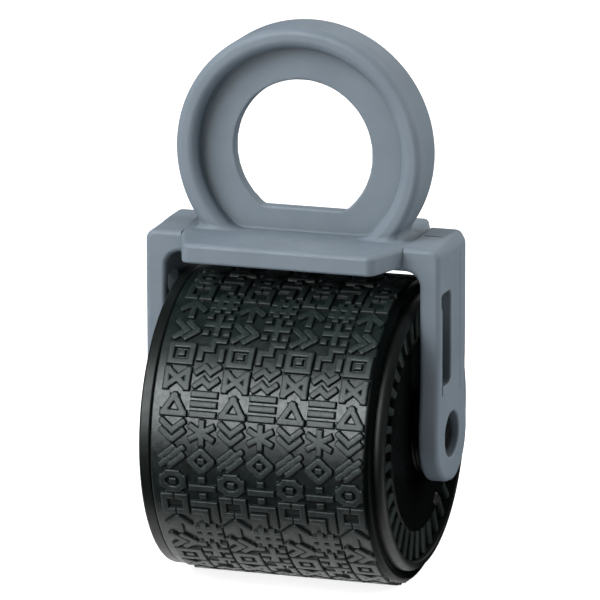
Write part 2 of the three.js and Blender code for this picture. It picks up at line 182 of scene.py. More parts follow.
def ring(x, y, z):
    across, deep, rear = np.abs(x), np.abs(y), y > 0
    taper = ((across - TAPER_X) * TAPER_NORMAL[0] + (deep - TAPER_Y) * TAPER_NORMAL[1]
             - np.where(rear, 0.35, 0.0))
    plan = cut_round(deep - PLATE_Y, taper, radius=np.where(rear, 0.7, 1.0))
    plate = cut_round(plan, z - TOP_Z, radius=0.75)
    plate = cut_round(plate, PLATE_UNDER - z, radius=0.35)
    plate = np.maximum(plate, across - PLATE_X)
    turn = distance(x, z - RING_Z)
    edge = np.where(rear, 0.8, np.where(turn > RIM_R, 1.15, 1.5))
    rim = cut_round(np.abs(turn - RIM_R) - RIM_HALF,
                    np.where(rear, y - RIM_REAR, -y - RIM_FRONT), radius=edge)
    rim = np.maximum(rim, RING_FOOT - z)
    hole = cut_round(turn - FINGER_R, FINGER_FLAT_Z - z, radius=0.15)
    web = cut_round(carve(turn - WEB_R, hole), deep - WEB_HALF_Y, radius=0.22)
    web = np.maximum(web, RING_FOOT - z)
    # the fillets vary: widest at the outer side of the rim, thin at the foot of the web
    outside = rise(turn, start=17.3, width=2.0)
    middle = fall(deep, end=4.5, width=1.3)
    body = join_round(plate, rim, radius=0.4 + middle * (0.5 + 0.9 * outside))
    web_fillet = (0.14 + 0.3 * rise(turn, start=12.0, width=3.0)
                  * rise(z, start=55.0, width=1.2))
    body = join_round(body, web, radius=web_fillet)
    body = carve(body, np.maximum(deep - CHANNEL_Y, z - CHANNEL_Z))
    stake = np.maximum(distance(across - STAKE_X, y) - STAKE_R,
                       np.maximum(STAKE_Z[0] - z, z - STAKE_Z[1]))
    return np.minimum(body, stake)


# ---- turned pieces: x along the axis, radial distance, arc length at a reference radius ----

CAP_ARC_R = 17.75      # reference radii of the arc length
DRUM_ARC_R = 21.0
CAP_R, CAP_STEP_X = 20.0, 16.4
DISC_R, DISC_X = 15.5, 19.1
HUB_R, HUB_X = 6.1, 20.2
RIBS, RIB_HALF, RIB_X, RIB_SPAN = 36, 0.62, 18.9, (15.2, 19.9)
CAP_BORE_R, CAP_INNER_X = 4.1, 13.9
PLUG_HOLE_R = 1.2


def cap(x, radial, arc):
    """End cap on the +X side: stepped disc with a hub and a crown of ribs."""
    base = np.maximum(radial - CAP_R, x - CAP_STEP_X)
    disc = cut_round(radial - DISC_R, x - DISC_X, radius=0.4)
    hub = cut_round(radial - HUB_R, x - HUB_X, radius=0.35)
    body = join_round(np.minimum(base, disc), hub, radius=0.35)
    local = fold(arc / CAP_ARC_R, RIBS) * radial
    rib = cut_round(np.abs(local) - RIB_HALF, x - RIB_X, radius=0.42)
    rib = np.maximum(rib, np.maximum(RIB_SPAN[0] - radial, radial - RIB_SPAN[1]))
    body = join_round(body, rib, radius=0.12)
    # ring-shaped cavity inside, and the groove of the seal ring
    body = carve(body, round_rect(radial, x, (6.2, 11.2), (10.0, 17.6), radius=0.3))
    body = carve(body, round_rect(radial, x, (18.7, 22.0), (14.3, 15.9), radius=0.2))
    body = carve(body, radial - CAP_BORE_R, radius=0.2)
    return np.maximum(body, CAP_INNER_X - x)


def cap_with_plug_hole(x, radial, arc):
    angle = arc / CAP_ARC_R
    y, z = radial * np.cos(angle), radial * np.sin(angle)
    hole = distance(y - PLUG_Y, z - PLUG_Z) - PLUG_HOLE_R
    return carve(cap(x, radial, arc), hole, radius=0.15)


DRUM_R, DRUM_BORE_R, DRUM_HALF_X = 21.6, 20.1, 19.6
FLANGE_R, FLANGE_X, FLANGE_HALF_X = 23.45, -18.175, 0.925
DRUM_SLOTS = 10        # slots around the drum, in two rows


def drum(x, radial, arc):
    across = np.abs(x)
    body = cut_round(radial - DRUM_R, across - DRUM_HALF_X, radius=1.15)
    flange = cut_round(radial - FLANGE_R, np.abs(x - FLANGE_X) - FLANGE_HALF_X, radius=0.36)
    body = join_round(body, flange, radius=0.08)
    body = cut_round(body, DRUM_BORE_R - radial, radius=0.3)
    local = fold(arc / DRUM_ARC_R + math.pi / DRUM_SLOTS, DRUM_SLOTS) * radial
    slot = round_rect(across, local, (1.9, 10.9), (-1.2, 1.2), radius=0.5)
    return carve(body, slot, radius=0.15)


# ---- stamp sleeve with raised block marks that spell nothing ----

COLS, COL_PITCH = 7, 4.73
MARKS_X = 0.6                            # middle of the columns
SLEEVE_R, GROUND_R = 24.0, 23.55         # faces of the marks, and the ground between them
SLEEVE_X = (-17.15, 18.0)
# even and odd columns
ROWS = np.array([37, 34])                # marks around the roller
SHIFT = np.array([0.88, 0.276])          # turn, in rows
FIRST = np.array([3, 4])                 # place in the running set where a column starts
HALF_S = np.array([1.85, 2.03])          # half height of a mark, around the roller
HALF_X = 2.14                            # half width of a mark, along the roller
STROKE = 0.47                            # half width of a stroke
DRAFT = 0.34                             # slope of the mark flanks
FAR = 9.0


def path(points, closed=False):
    ends = points[1:] + points[:1] if closed else points[1:]
    return list(zip(points, ends))


DOT = [((-.04, 0), (.04, 0))]
SQUARE = [(-1, -1), (1, -1), (1, 1), (-1, 1)]
OCTAGON = [(math.cos(math.pi * (i + .5) / 4) * 1.06, math.sin(math.pi * (i + .5) / 4) * 1.06)
           for i in range(8)]

# strokes of each mark, in units of its half size; columns take the two sets in turn
SET_A = [
    path(SQUARE, True) + DOT,
    path([(-1, -1), (-1, 1), (1, -1), (1, 1)], True),
    path([(-1, -1), (1, -1), (0, 1)], True),
    path([(-1, 1), (0, 0), (1, 1)]) + path([(-1, -.05), (0, -1.05), (1, -.05)]),
    [((-1, -.1), (.1, 1)), ((-1, -1), (1, 1)), ((-.1, -1), (1, .1))],
    path(OCTAGON, True) + DOT,
    path([(-.35, 1), (-1, 1), (-1, -1), (-.35, -1)])
    + path([(.35, 1), (1, 1), (1, -1), (.35, -1)]),
    path([(-1, 0), (0, 1), (1, 0)]) + [((0, -1), (0, .8))],
    path([(-1, 1), (0, 0), (-1, -1)]) + path([(.05, 1), (1.05, 0), (.05, -1)]),
]
SET_B = [
    path([(-1, .4), (-.33, 1), (.33, .4), (1, 1)])
    + path([(-1, -1), (-.33, -.4), (.33, -1), (1, -.4)]),
    [((-1, -1), (1, -1)), ((-1, 0), (1, 0)), ((-1, 1), (1, 1))],
    [((-1, -.6), (1, .6)), ((-1, .6), (1, -.6)), ((0, -1), (0, 1))],
    path([(0, -1.1), (1.1, 0), (0, 1.1), (-1.1, 0)], True) + DOT,
    [((-1, 0), (1, 0)), ((-.04, .9), (.04, .9)), ((-.04, -.9), (.04, -.9))],
    path([(-1, 1), (1, 1), (1, -1)]) + path([(-1, 0), (0, 0), (0, -1)]),
    [((-.5, -1), (-.5, 1)), ((.5, -1), (.5, 1)), ((-1, -.5), (1, -.5)), ((-1, .5), (1, .5))],
    [((-1, 0), (1, 0)), ((0, -1), (0, 1))]
    + [((i - .03, j), (i + .03, j)) for i in (-1, 1) for j in (-1, 1)],
    path([(-1, -1), (-1, 0), (0, 0), (0, 1), (1, 1)]) + [((1, -1), (1, -.2))],
]
SET_SIZE = len(SET_A)
MARKS = SET_A + SET_B


def strokes_distance(strokes, a, b, half_s):
    nearest = np.full(len(a), FAR)
    reach = (HALF_X - STROKE, half_s - STROKE)
    for start, end in strokes:
        start, end = np.multiply(start, reach), np.multiply(end, reach)
        mid_a, mid_b = (start + end) / 2
        length = math.hypot(*(end - start))
        dir_a, dir_b = (end - start) / length
        along = np.abs((a - mid_a) * dir_a + (b - mid_b) * dir_b) - length / 2 - STROKE
        aside = np.abs(-(a - mid_a) * dir_b + (b - mid_b) * dir_a) - STROKE
        nearest = np.minimum(nearest, box(along, aside))
    # keep the mark inside its own field
    field = np.maximum(np.abs(a) - HALF_X - 0.04, np.abs(b) - half_s - 0.02)
    return np.maximum(nearest, field)


def mark_distance(x, arc):
    """Distance to the marks on the unrolled sleeve surface."""
    shape = x.shape
    x, arc = x.ravel(), arc.ravel()
    left = MARKS_X - COLS * COL_PITCH / 2
    col = np.clip(np.floor((x - left) / COL_PITCH).astype(int), 0, COLS - 1)
    a = x - (left + (col + 0.5) * COL_PITCH)
    odd = col % 2
    pitch = 2 * math.pi * SLEEVE_R / ROWS[odd]
    turn = np.mod(arc / pitch + SHIFT[odd], ROWS[odd])
    row = np.floor(turn).astype(int)
    b = -(turn - row - 0.5) * pitch
    kind = np.mod(row + FIRST[odd], SET_SIZE) + SET_SIZE * odd
    out = np.full(len(x), FAR)
    for k, strokes in enumerate(MARKS):
        here = np.nonzero(kind == k)[0]
        if len(here):
            out[here] = strokes_distance(strokes, a[here], b[here], HALF_S[k // SET_SIZE])
    return out.reshape(shape)


def sleeve(x, radial, arc):
    base = cut_round(radial - GROUND_R, x - SLEEVE_X[1], radius=0.9)
    base = cut_round(base, SLEEVE_X[0] - x, radius=0.22)
    # the marks don't change with the radius, so one layer of a full grid is enough
    marks = mark_distance(x[:, :1], arc[:, :1]) if x.ndim == 3 else mark_distance(x, arc)
    marks = marks + (radial - SLEEVE_R) * DRAFT
    return np.minimum(base, cut_round(marks, radial - SLEEVE_R, radius=0.16))


# --------------------------------------------------------------------------
# mesher: dual contouring on a rectilinear grid, with edge-true normals
# --------------------------------------------------------------------------


def axis(*spans):
    """Grid coordinates from (start, end, step) spans laid end to end."""
    out = []
    for start, end, step in spans:
        count = max(1, int(round((end - start) / step)))
        part = np.linspace(start, end, count + 1)
        out.extend(part if not out else part[1:])
    return np.array(out)


def unit(vectors):
    return vectors / np.maximum(np.linalg.norm(vectors, axis=1), 1e-9)[:, None]


def gradient(f, points, eps=2e-3):
    out = np.empty_like(points)
    for k in range(3):
        low, high = points.copy(), points.copy()
        low[:, k] -= eps
        high[:, k] += eps
        out[:, k] = f(*high.T) - f(*low.T)
    return unit(out)


def find_zero(f, start, end, f_start, f_end):
    """Points where f changes sign between start and end, by four false-position steps."""
    t0, t1 = np.zeros(len(start)), np.ones(len(start))
    t = np.clip(f_start / (f_start - f_end), 0.02, 0.98)
    for _ in range(4):
        f_mid = f(*(start + (end - start) * t[:, None]).T)
        same = (f_mid < 0) == (f_start < 0)
        t0 = np.where(same, t, t0)
        f_start = np.where(same, f_mid, f_start)
        t1 = np.where(same, t1, t)
        f_end = np.where(same, f_end, f_mid)
        gap = np.where(f_start == f_end, 1, f_start - f_end)
        t = np.clip(t0 + (t1 - t0) * f_start / gap, 0, 1)
    return start + (end - start) * t[:, None]


def find_crossings(f, axes, period):
    """Surface points on grid edges, the four cells round each, and whether it faces back."""
    cells = [len(a) - 1 for a in axes]
    samples = axes[:2] + [axes[2][:-1] if period else axes[2]]
    field = f(*np.meshgrid(*samples, indexing="ij"))
    around_all, points_all, flip_all = [], [], []
    for k in range(3):
        near, far = field, np.roll(field, -1, k)
        if not (k == 2 and period):
            near, far = np.delete(near, -1, k), np.delete(far, -1, k)
        crossed = (near < 0) != (far < 0)
        index = np.argwhere(crossed)
        start = np.stack([axes[j][index[:, j]] for j in range(3)], 1)
        end = start.copy()
        end[:, k] = axes[k][index[:, k] + 1]
        points = find_zero(f, start, end, near[crossed], far[crossed])
        around, whole = [], np.ones(len(index), bool)
        for step_1, step_2 in ((-1, -1), (0, -1), (0, 0), (-1, 0)):
            cell = index.copy()
            cell[:, (k + 1) % 3] += step_1
            cell[:, (k + 2) % 3] += step_2
            if period:
                cell[:, 2] %= cells[2]
            whole &= ((cell >= 0) & (cell < cells)).all(1)
            around.append((cell[:, 0] * cells[1] + cell[:, 1]) * cells[2] + cell[:, 2])
        around_all.append(np.stack(around, 1)[whole])
        points_all.append(points[whole])
        flip_all.append(near[crossed][whole] >= 0)
    return [np.concatenate(part) for part in (around_all, points_all, flip_all)]


def contour(f, axes, period=0.0):
    """Vertices and quads in grid coordinates, then for each quad corner a point close to it
    and the normal there, and last the grid cell of each vertex.
    With a period, the third axis closes on itself."""
    around, points, flip = find_crossings(f, axes, period)
    normals = gradient(f, points)
    used, own = np.unique(around.ravel(), return_inverse=True)
    own = own.reshape(around.shape)
    cell = np.stack(np.unravel_index(used, [len(a) - 1 for a in axes]), 1)
    low = np.stack([axes[k][cell[:, k]] for k in range(3)], 1)
    high = np.stack([axes[k][cell[:, k] + 1] for k in range(3)], 1)
    size, mid = high - low, (low + high) / 2
    total = len(used)
    # mean of the crossings of each cell, about the middle of the cell
    count, mean, offsets = np.zeros(total), np.zeros((total, 3)), []
    for c in range(4):
        offset = points - mid[own[:, c]]
        if period:
            offset[:, 2] -= period * np.round(offset[:, 2] / period)
        offsets.append(offset)
        count += np.bincount(own[:, c], minlength=total)
        for k in range(3):
            mean[:, k] += np.bincount(own[:, c], offset[:, k], minlength=total)
    mean /= count[:, None]
    # least squares: the vertex lies on the tangent planes of its crossings
    lhs, rhs = np.zeros((total, 3, 3)), np.zeros((total, 3))
    for c in range(4):
        plane = (normals * (offsets[c] - mean[own[:, c]])).sum(1)
        for i in range(3):
            rhs[:, i] += np.bincount(own[:, c], normals[:, i] * plane, minlength=total)
            for j in range(3):
                product = normals[:, i] * normals[:, j]
                lhs[:, i, j] += np.bincount(own[:, c], product, minlength=total)
    lhs += np.eye(3)[None] * (0.04 * count)[:, None, None]
    shift = np.linalg.solve(lhs, rhs[:, :, None])[:, :, 0]
    verts = np.clip(mean + shift, -0.49 * size, 0.49 * size) + mid
    quads = np.where(flip[:, None], own[:, ::-1], own)
    # normals are taken a little inside each quad, so that sharp edges stay sharp
    rows = verts[quads]
    if period:
        first = rows[:, :1, 2]
        turns = np.round((rows[:, :, 2] - first) / period)
        rows[:, :, 2] = first + (rows[:, :, 2] - first) - period * turns
    centre = rows.mean(1, keepdims=True)
    close = (rows + 0.3 * (centre - rows)).reshape(-1, 3)
    return verts, quads, close, gradient(f, close), cell


def points_round_axis(verts, arc_r, side=1.0):
    """Grid (x, radial, arc length at arc_r) to places about the roller axis."""
    angle = verts[:, 2] / arc_r
    return np.stack([verts[:, 0] * side, verts[:, 1] * np.cos(angle),
                     verts[:, 1] * np.sin(angle) + AXIS_Z], 1)


def normals_round_axis(normals, points, arc_r, side=1.0):
    angle = points[:, 2] / arc_r
    radial, tangent = normals[:, 1], normals[:, 2] * arc_r / np.maximum(points[:, 1], 1e-3)
    cos, sin = np.cos(angle), np.sin(angle)
    return unit(np.stack([normals[:, 0] * side, radial * cos - tangent * sin,
                          radial * sin + tangent * cos], 1))


def add_object(name, data):
    ob = bpy.data.objects.new(name, data)
    scene.collection.objects.link(ob)
    return ob


def quad_object(name, verts, quads, normals):
    quads = np.asarray(quads, np.int32)
    mesh = bpy.data.meshes.new(name)
    mesh.vertices.add(len(verts))
    mesh.vertices.foreach_set("co", (verts * MM).astype(np.float32).ravel())
    mesh.loops.add(quads.size)
    mesh.loops.foreach_set("vertex_index", quads.ravel())
    mesh.polygons.add(len(quads))
    mesh.polygons.foreach_set("loop_start", np.arange(0, quads.size, 4, dtype=np.int32))
    mesh.polygons.foreach_set("loop_total", np.full(len(quads), 4, np.int32))
    mesh.polygons.foreach_set("use_smooth", np.ones(len(quads), bool))
    mesh.update(calc_edges=True)
    mesh.validate()
    # validate may drop faulty faces, and then the normals no longer fit the corners
    if len(mesh.loops) == len(normals):
        mesh.normals_split_custom_set([tuple(map(float, row)) for row in normals])
    return add_object(name, mesh)


def moulded(name, f, spans, step):
    axes = [axis((low, high, step)) for low, high in spans]
    verts, quads, _, normals, _ = contour(f, axes)
    return quad_object(name, verts, quads, normals)


def turned_contour(f, x_axis, radial_axis, segments, arc_r):
    turn = 2 * math.pi * arc_r
    return contour(f, [x_axis, radial_axis, np.linspace(0, turn, segments + 1)], period=turn)


def turned(name, f, x_axis, radial_axis, segments, arc_r, side=1.0):
    """Turned piece; side -1 mirrors it to the left."""
    verts, quads, close, normals, _ = turned_contour(f, x_axis, radial_axis, segments, arc_r)
    normals = normals_round_axis(normals, close, arc_r, side)
    if side < 0:
        quads = quads[:, ::-1]
        normals = normals.reshape(-1, 4, 3)[:, ::-1].reshape(-1, 3)
    return quad_object(name, points_round_axis(verts, arc_r, side), quads, normals)


def lathe(name, profile, segments, wobble=lambda x, radial, angle: 0.0):
    """Profile of (x, radius) points turned about the roller axis. A profile that starts
    with radius 0 runs from pole to pole; any other closes on itself."""
    verts, faces, rings = [], [], []
    for x, radius in profile:
        first = len(verts)
        if radius < 1e-6:
            verts.append((x, 0.0, AXIS_Z))
            rings.append([first])
            continue
        for i in range(segments):
            angle = 2 * math.pi * i / segments
            r = radius + wobble(x, radius, angle)
            verts.append((x, r * math.cos(angle), AXIS_Z + r * math.sin(angle)))
        rings.append(range(first, first + segments))
    closed = len(rings[0]) > 1
    following = rings[1:] + rings[:1] if closed else rings[1:]
    for here, after in zip(rings, following):
        for i in range(segments):
            j = (i + 1) % segments
            if len(here) == 1:
                faces.append((here[0], after[i], after[j]))
            elif len(after) == 1:
                faces.append((here[i], after[0], here[j]))
            else:
                faces.append((here[i], after[i], after[j], here[j]))
    mesh = bpy.data.meshes.new(name)
    mesh.from_pydata([tuple(c * MM for c in v) for v in verts], [], faces)
    mesh.validate()
    bm = bmesh.new()
    bm.from_mesh(mesh)
    bmesh.ops.recalc_face_normals(bm, faces=bm.faces)
    bm.to_mesh(mesh)
    bm.free()
    mesh.shade_smooth()
    mesh.set_sharp_from_angle(angle=math.radians(40))
    return add_object(name, mesh)


def soften(profile, radius, steps):
    """Rounds the corners of a closed (x, radius) profile."""
    out = []
    points = [np.array(point, float) for point in profile]
    for i, corner in enumerate(points):
        before, after = points[i - 1] - corner, points[(i + 1) % len(points)] - corner
        len_before, len_after = np.linalg.norm(before), np.linalg.norm(after)
        reach = min(radius, len_before * 0.45, len_after * 0.45)
        start = corner + before / len_before * reach
        end = corner + after / len_after * reach
        for t in np.linspace(0, 1, steps + 1):
            out.append(tuple((1 - t) ** 2 * start + 2 * t * (1 - t) * corner + t ** 2 * end))
    return out


# --------------------------------------------------------------------------
# materials
# --------------------------------------------------------------------------


def srgb(*channels):
    """Linear colour from sRGB channels of 0 to 255."""
    def linear(c):
        c /= 255.0
        return c / 12.92 if c <= 0.04045 else ((c + 0.055) / 1.055) ** 2.4
    return (*map(linear, channels), 1.0)


class Graph:
    """Builds a node tree. Inputs take a number, a tuple or the output of another node."""

    def __init__(self, owner, output_kind):
        owner.use_nodes = True
        self.tree = owner.node_tree
        self.tree.nodes.clear()
        self.output = self.add(output_kind)

    def fill(self, socket, value):
        if isinstance(value, (int, float, tuple)):
            socket.default_value = value
        else:
            self.tree.links.new(value, socket)

    def fill_named(self, node, inputs):
        for name, value in inputs.items():
            self.fill(node.inputs[name.replace("_", " ")], value)

    def add(self, kind, settings=None, **inputs):
        node = self.tree.nodes.new(kind)
        for name, value in (settings or {}).items():
            setattr(node, name, value)
        self.fill_named(node, inputs)
        return node

    def end(self, shader):
        self.fill(self.output.inputs[0], shader)

    def ramp(self, value, over=(0.0, 1.0), to=(0.0, 1.0)):
        """Maps the range over, clamped, to the range to."""
        return self.add("ShaderNodeMapRange", Value=value, From_Min=over[0], From_Max=over[1],
                        To_Min=to[0], To_Max=to[1]).outputs[0]

    def math(self, operation, *values):
        node = self.add("ShaderNodeMath", {"operation": operation})
        for socket, value in zip(node.inputs, values):
            self.fill(socket, value)
        return node.outputs[0]

    def times(self, a, b):
        return self.math("MULTIPLY", a, b)

    def fade(self, value, over):
        return self.ramp(value, over=over, to=(1.0, 0.0))

    def band(self, value, up, down, peak=1.0):
        """Rises from 0 to the peak over up and falls back over down."""
        return self.times(self.ramp(value, over=up, to=(0.0, peak)), self.fade(value, down))

    def mix_shaders(self, factor, first, second):
        node = self.add("ShaderNodeMixShader")
        for socket, value in zip(node.inputs, (factor, first, second)):
            self.fill(socket, value)
        return node.outputs[0]


class Material(Graph):
    def __init__(self, name):
        self.material = bpy.data.materials.new(name)
        super().__init__(self.material, "ShaderNodeOutputMaterial")
        self.bsdf = self.add("ShaderNodeBsdfPrincipled")
        self.end(self.bsdf.outputs[0])
        self.coord = self.add("ShaderNodeTexCoord").outputs["Object"]

    def set(self, **inputs):
        self.fill_named(self.bsdf, inputs)

    def noise(self, scale, detail, roughness=0.55, distortion=0.0):
        return self.add("ShaderNodeTexNoise", Scale=scale, Detail=detail, Roughness=roughness,
                        Distortion=distortion, Vector=self.coord).outputs["Fac"]

    def patches(self, scale, detail, over, to=(0.0, 1.0), roughness=0.55):
        """Noise whose range over is stretched to the range to."""
        return self.ramp(self.noise(scale, detail, roughness), over, to)

    def mix(self, factor, first, second):
        node = self.add("ShaderNodeMix", {"data_type": "RGBA"}, Factor=factor)
        self.fill(node.inputs[6], first)
        self.fill(node.inputs[7], second)
        return node.outputs[2]

    def tint(self, colour, paint, mask, amount):
        return self.mix(self.times(mask, amount), colour, paint)

    def bump(self, height, distance, strength, **under):
        """Bump; Normal= lays it over another one."""
        return self.add("ShaderNodeBump", Strength=strength, Distance=distance,
                        Height=height, **under).outputs[0]

    def position(self):
        return self.add("ShaderNodeSeparateXYZ", Vector=self.coord).outputs

    def radius(self, y, z):
        """Distance from the roller axis in metres."""
        y_squared = self.math("POWER", y, 2.0)
        z_squared = self.math("POWER", self.math("SUBTRACT", z, AXIS_Z * MM), 2.0)
        return self.math("SQRT", self.math("ADD", y_squared, z_squared))

    def edges(self, over):
        """Mask of the outward edges."""
        return self.ramp(self.add("ShaderNodeNewGeometry").outputs["Pointiness"], over)


def grey_plastic():
    m = Material("slate_moulded_plastic")
    colour = m.mix(m.patches(scale=90.0, detail=3.0, over=(0.3, 0.7)),
                   srgb(106, 117, 127), srgb(116, 127, 137))
    speck = m.patches(scale=5200.0, detail=2.0, over=(0.35, 0.65))
    colour = m.tint(colour, srgb(111, 122, 132), speck, amount=0.35)
    worn = m.times(m.edges(over=(0.53, 0.62)),
                   m.patches(scale=260.0, detail=5.0, over=(0.42, 0.62)))
    colour = m.tint(colour, srgb(136, 148, 160), worn, amount=0.18)
    # painted shade in the corners and crevices, taken from an ambient occlusion node
    corner = m.add("ShaderNodeAmbientOcclusion", {"samples": 6}, Distance=0.003)
    painted_corner_shade = m.fade(corner.outputs["AO"], (0.25, 0.85))
    colour = m.tint(colour, srgb(62, 72, 77), painted_corner_shade, amount=0.55)
    x, y, z = m.position()
    across = m.math("ABSOLUTE", x)
    # painted shadow of the rim on the left part of the web
    painted_rim_shadow = m.times(m.fade(x, (-0.0168, -0.0105)),
                     m.fade(m.math("ABSOLUTE", y), (0.0010, 0.0022)))
    painted_rim_shadow = m.times(painted_rim_shadow, m.ramp(z, over=(0.0535, 0.0570)))
    colour = m.tint(colour, srgb(66, 78, 82), painted_rim_shadow, amount=0.42)
    # painted shade inside the slots through the arms, deeper on the left and lower down
    inside = m.band(across, up=(0.02055, 0.0208), down=(0.0234, 0.0237))
    inside = m.times(inside, m.band(y, up=(-0.0060, -0.0058), down=(-0.0006, -0.0004)))
    inside = m.times(inside, m.band(z, up=(0.0316, 0.0320), down=(0.0478, 0.0480)))
    painted_slot_shade = m.ramp(x, over=(-0.001, 0.001), to=(0.93, 0.42))
    painted_slot_shade = m.times(painted_slot_shade, m.ramp(z, over=(0.0435, 0.0472), to=(1.0, 0.5)))
    colour = m.tint(colour, srgb(20, 31, 29), inside, amount=painted_slot_shade)
    roughness = m.patches(scale=420.0, detail=6.0, roughness=0.6,
                          over=(0.3, 0.7), to=(0.5, 0.62))
    polish = m.times(worn, 0.08)
    grain = m.noise(scale=3600.0, detail=3.0, roughness=0.6)
    wave = m.bump(m.noise(scale=70.0, detail=2.0), distance=0.00022, strength=0.35)
    m.set(Base_Color=colour, Specular_IOR_Level=0.45, IOR=1.46,
          Roughness=m.math("SUBTRACT", roughness, polish),
          Normal=m.bump(grain, distance=0.000012, strength=0.55, Normal=wave),
          Subsurface_Weight=0.04, Subsurface_Radius=(0.0008, 0.0009, 0.001))
    return m.material


def black_plastic():
    m = Material("black_gloss_plastic")
    # painted sheen: the left flange gets a lighter base colour than the rest of the drum, and
    # it is also smoother and less specular
    flange = m.fade(m.position()[0], (-0.0171, -0.0169))
    colour = m.mix(m.patches(scale=140.0, detail=4.0, over=(0.35, 0.65)),
                   srgb(8, 11, 11), srgb(14, 18, 18))
    scuff = m.patches(scale=700.0, detail=7.0, roughness=0.7, over=(0.35, 0.7), to=(0.44, 0.56))
    flange_polish = m.times(flange, -0.12)
    wave = m.bump(m.noise(scale=160.0, detail=2.0), distance=0.0001, strength=0.25)
    m.set(Base_Color=m.mix(flange, colour, srgb(18, 22, 21)),
          Roughness=m.math("ADD", scuff, flange_polish),
          Specular_IOR_Level=m.ramp(flange, to=(0.5, 0.32)), IOR=1.5,
          Normal=m.bump(m.noise(scale=3000.0, detail=3.0), distance=0.000008, strength=0.4,
                        Normal=wave))
    return m.material


def cap_plastic():
    m = Material("black_cap_plastic")
    _, y, z = m.position()
    outside = m.ramp(m.radius(y, z), over=(0.0154, 0.0157))      # beyond the raised disc
    cloud = m.patches(scale=160.0, detail=4.0, over=(0.35, 0.65))
    # painted shade: the raised disc is coloured near black and the ribs and step beyond it
    # lighter, one plastic in a shaded and a lit tone
    inner = m.mix(cloud, srgb(2, 3, 3), srgb(5, 6, 6))
    outer = m.mix(cloud, srgb(25, 33, 32), srgb(38, 47, 45))
    wave = m.bump(m.noise(scale=200.0, detail=2.0), distance=0.0001, strength=0.2)
    edge_coat = m.times(m.edges(over=(0.53, 0.6)), 0.15)
    m.set(Base_Color=m.mix(outside, inner, outer), IOR=1.45, Coat_Weight=edge_coat,
          Roughness=m.patches(scale=900.0, detail=6.0, roughness=0.65,
                              over=(0.35, 0.7), to=(0.4, 0.56)),
          Specular_IOR_Level=m.ramp(outside, to=(0.2, 0.5)),
          Normal=m.bump(m.noise(scale=3800.0, detail=3.0), distance=0.00001, strength=0.5,
                        Normal=wave))
    return m.material


def stamp_rubber():
    m = Material("porous_stamp_rubber")
    x, y, z = m.position()
    radius = m.radius(y, z)
    face = m.ramp(radius, over=(0.02365, 0.0239))
    speck = m.noise(scale=2600.0, detail=4.0, roughness=0.65)
    cells = m.add("ShaderNodeTexVoronoi", Scale=3400.0, Vector=m.coord)
    pore = m.ramp(cells.outputs["Distance"], over=(0.12, 0.42))
    face_colour = m.mix(m.patches(scale=180.0, detail=5.0, roughness=0.6, over=(0.3, 0.7)),
                        srgb(14, 24, 23), srgb(28, 38, 37))
    face_colour = m.tint(face_colour, srgb(46, 58, 56), m.ramp(speck, over=(0.45, 0.7)),
                         amount=0.5)
    ground_colour = m.mix(m.patches(scale=500.0, detail=4.0, over=(0.35, 0.65)),
                          srgb(10, 19, 18), srgb(20, 30, 29))
    colour = m.mix(face, ground_colour, face_colour)
    # the flanks of the marks are duller than their faces, and painted darker as shade in the
    # creases round each mark
    flank = m.band(radius, up=(0.02356, 0.02364), down=(0.02390, 0.02399))
    colour = m.tint(colour, srgb(6, 12, 11), flank, amount=0.45)
    # the right-hand edge and its end face are matt
    cut = m.ramp(x, over=(0.0168, 0.01715))
    specular = m.times(m.ramp(cut, to=(0.5, 0.05)), m.ramp(flank, to=(1.0, 0.4)))
    ground_rough = m.patches(scale=1500.0, detail=4.0, over=(0.3, 0.7), to=(0.28, 0.44))
    face_rough = m.ramp(speck, over=(0.35, 0.65), to=(0.4, 0.56))
    roughness = m.math("ADD", m.times(face, face_rough),
                       m.times(m.math("SUBTRACT", 1.0, face), ground_rough))
    flank_rough = m.times(flank, 0.16)
    speck_height = m.times(speck, 0.6)
    pore_height = m.times(pore, 0.5)
    wave = m.bump(m.noise(scale=420.0, detail=3.0), distance=0.00008, strength=0.45)
    m.set(Base_Color=m.mix(cut, colour, srgb(5, 8, 8)), Specular_IOR_Level=specular, IOR=1.58,
          Roughness=m.math("ADD", roughness, flank_rough),
          Normal=m.bump(m.math("ADD", speck_height, pore_height), distance=0.00003,
                        strength=0.75, Normal=wave))
    return m.material


def felt():
    m = Material("ink_soaked_felt")
    tufts = m.noise(scale=900.0, detail=8.0, roughness=0.75, distortion=1.5)
    fibres = m.noise(scale=2600.0, detail=6.0, roughness=0.8, distortion=3.0)
    m.set(Base_Color=m.mix(m.ramp(tufts, over=(0.3, 0.7)), srgb(18, 19, 26), srgb(46, 47, 58)),
          Roughness=m.ramp(tufts, over=(0.3, 0.7), to=(0.8, 1.0)),
          Sheen_Weight=0.35, Sheen_Roughness=0.6,
          Normal=m.bump(fibres, distance=0.00006, strength=0.8,
                        Normal=m.bump(tufts, distance=0.00018, strength=0.8)))
    return m.material


def plain(name, dark, light, colour, roughness, grain, distance, strength):
    """Mottled dark surface; colour and roughness are patches, grain is a noise."""
    m = Material(name)
    m.set(Base_Color=m.mix(m.patches(**colour), srgb(*dark), srgb(*light)),
          Roughness=m.patches(**roughness),
          Normal=m.bump(m.noise(scale=grain, detail=3.0), distance, strength))
    return m.material


def seal_rubber():
    return plain("black_seal_rubber", dark=(14, 15, 16), light=(27, 28, 30),
                 colour=dict(scale=600.0, detail=5.0, over=(0.35, 0.65)),
                 roughness=dict(scale=1400.0, detail=4.0, over=(0.3, 0.7), to=(0.5, 0.72)),
                 grain=3200.0, distance=0.00001, strength=0.6)


